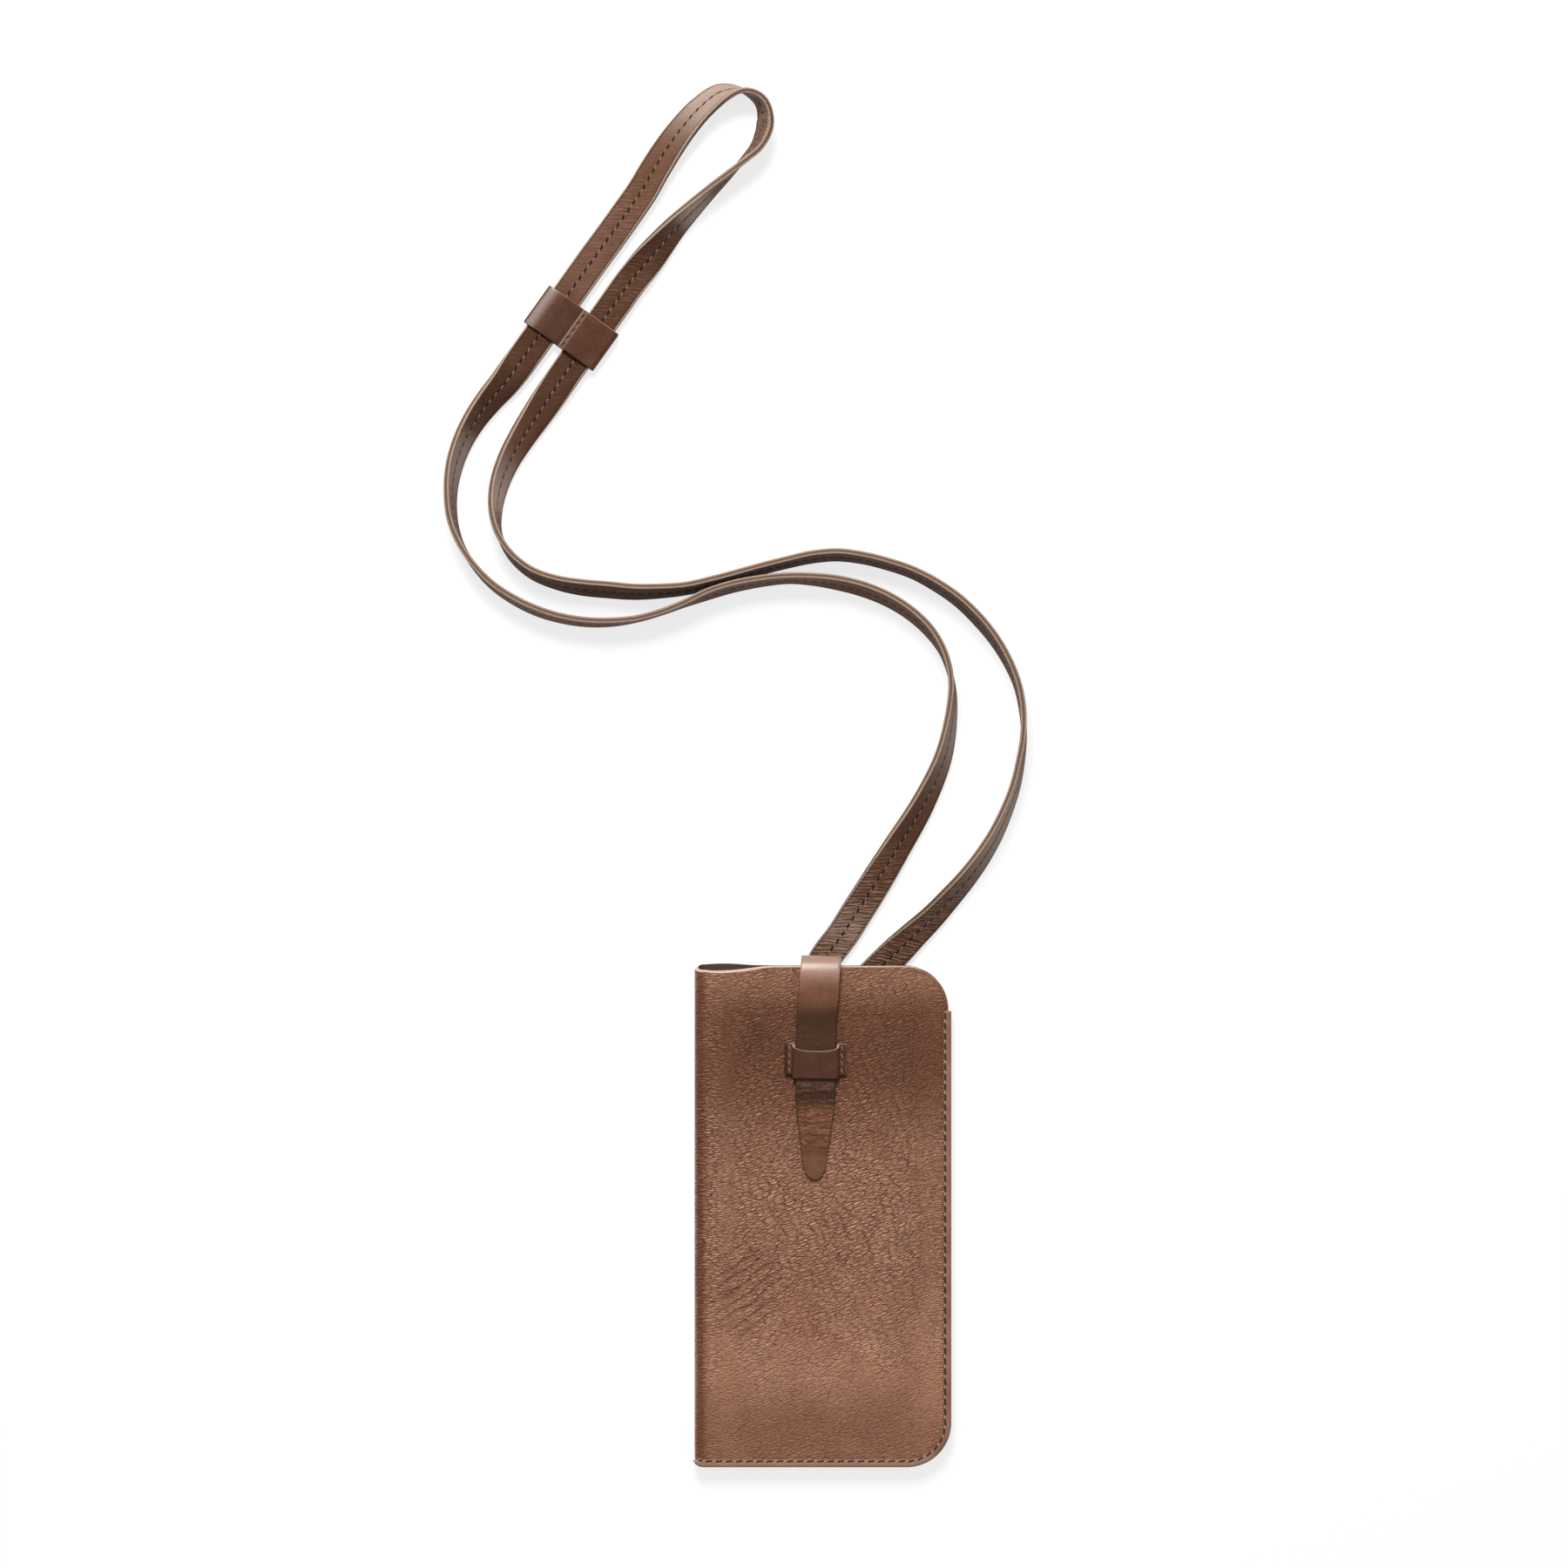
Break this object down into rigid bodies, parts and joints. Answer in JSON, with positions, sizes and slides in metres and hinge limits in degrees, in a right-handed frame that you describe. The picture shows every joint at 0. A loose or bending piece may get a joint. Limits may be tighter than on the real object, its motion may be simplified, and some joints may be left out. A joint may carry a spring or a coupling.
{
  "type": "glasses case",
  "caption": "Soft leather glasses case with a fold-over closure tongue, a front keeper loop and a leather neck strap with a slider.",
  "frame": {"origin": "under the middle of the case at table height, with the case lying on its back and the strap left out", "axes": "+X to the right across the front panel, from the fold to the sewn side, +Y from the sewn bottom to the mouth, +Z out of the front panel"},
  "size_m": [0.2069, 0.4916, 0.0131],
  "materials": {
    "panel_leather": "pebbled, soft sheen",
    "strip_leather": "smooth, soft sheen",
    "smooth_leather": "smooth, light sheen",
    "strap_leather": "smooth, creased"
  },
  "bodies": {
    "case": {"case_shell": "panel_leather", "seam_binding": "strip_leather", "keeper_loop": "smooth_leather", "tongue_root": "smooth_leather", "strap_left": "strap_leather", "strap_right": "strap_leather"},
    "tongue": {"closure_tongue": "smooth_leather"},
    "slider": {"strap_slider": "smooth_leather"}
  },
  "joints": [
    {"name": "tongue_draw", "type": "slide", "parent": "case", "child": "tongue", "axis": [0.0124, 0.9999, 0], "range_m": [0, 0.05]},
    {"name": "slider_slide", "type": "slide", "parent": "case", "child": "slider", "axis": [0.5807, 0.8141, 0], "range_m": [-0.004, 0.015]}
  ]
}
